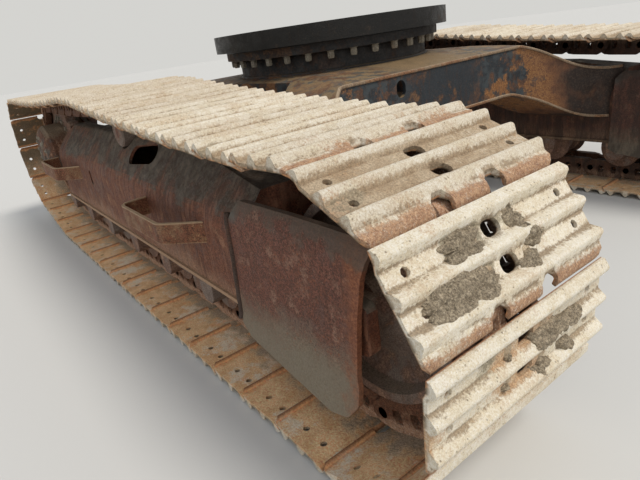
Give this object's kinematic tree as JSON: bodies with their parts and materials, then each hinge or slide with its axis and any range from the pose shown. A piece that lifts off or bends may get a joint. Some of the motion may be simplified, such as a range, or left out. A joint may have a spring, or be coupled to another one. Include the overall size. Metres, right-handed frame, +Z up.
{
  "type": "crawler excavator undercarriage",
  "caption": "Undercarriage of a crawler excavator: two tracks with grousers on their frames, joined by a low car body that carries the slewing ring for the house.",
  "frame": {"origin": "on the ground, midway between the tracks and midway along them", "axes": "+X forward to the idlers, +Y to the left, +Z up along the slewing axis"},
  "size_m": [3.4862, 2.49, 0.933],
  "materials": {
    "body_paint": "worn paint with rust",
    "frame_paint": "rusted and dusty",
    "guard_paint": "rusted, fading to grey dust at the foot",
    "step_steel": "worn to bare metal at the edges",
    "track_steel": "dried pale mud over rust",
    "wheel_steel": "rusty, bright where the chain runs",
    "drive_paint": "dusty paint",
    "race_steel": "dark and greasy"
  },
  "bodies": {
    "undercarriage": {"center_frame": "body_paint", "leg_front_left": "body_paint", "leg_front_right": "body_paint", "leg_rear_left": "body_paint", "leg_rear_right": "body_paint", "belly_plate": "frame_paint", "pedestal": "body_paint", "swivel_joint": "drive_paint", "fixed_race": "race_steel", "track_left": "track_steel", "track_right": "track_steel", "track_frame_left": "frame_paint", "track_frame_right": "frame_paint", "outer_guard_left": "guard_paint", "outer_guard_right": "guard_paint", "inner_guard_left": "guard_paint", "inner_guard_right": "guard_paint", "step_front_left": "step_steel", "step_front_right": "step_steel", "step_rear_left": "step_steel", "step_rear_right": "step_steel", "idler_left": "wheel_steel", "idler_right": "wheel_steel", "idler_yoke_left": "wheel_steel", "idler_yoke_right": "wheel_steel", "carrier_roller_left": "wheel_steel", "carrier_roller_right": "wheel_steel", "carrier_stand_left": "frame_paint", "carrier_stand_right": "frame_paint", "track_rollers_left": "wheel_steel", "track_rollers_right": "wheel_steel", "chain_guides_left": "wheel_steel", "chain_guides_right": "wheel_steel", "sprocket_left": "wheel_steel", "sprocket_right": "wheel_steel", "final_drive_left": "drive_paint", "final_drive_right": "drive_paint", "travel_motor_left": "drive_paint", "travel_motor_right": "drive_paint", "motor_cover_left": "frame_paint", "motor_cover_right": "frame_paint"},
    "house_ring": {"turning_race": "race_steel"}
  },
  "joints": [
    {"name": "slew", "type": "hinge", "parent": "undercarriage", "child": "house_ring", "pos_m": [0.06, 0, 0.862], "axis": [0, 0, 1], "continuous": true}
  ]
}
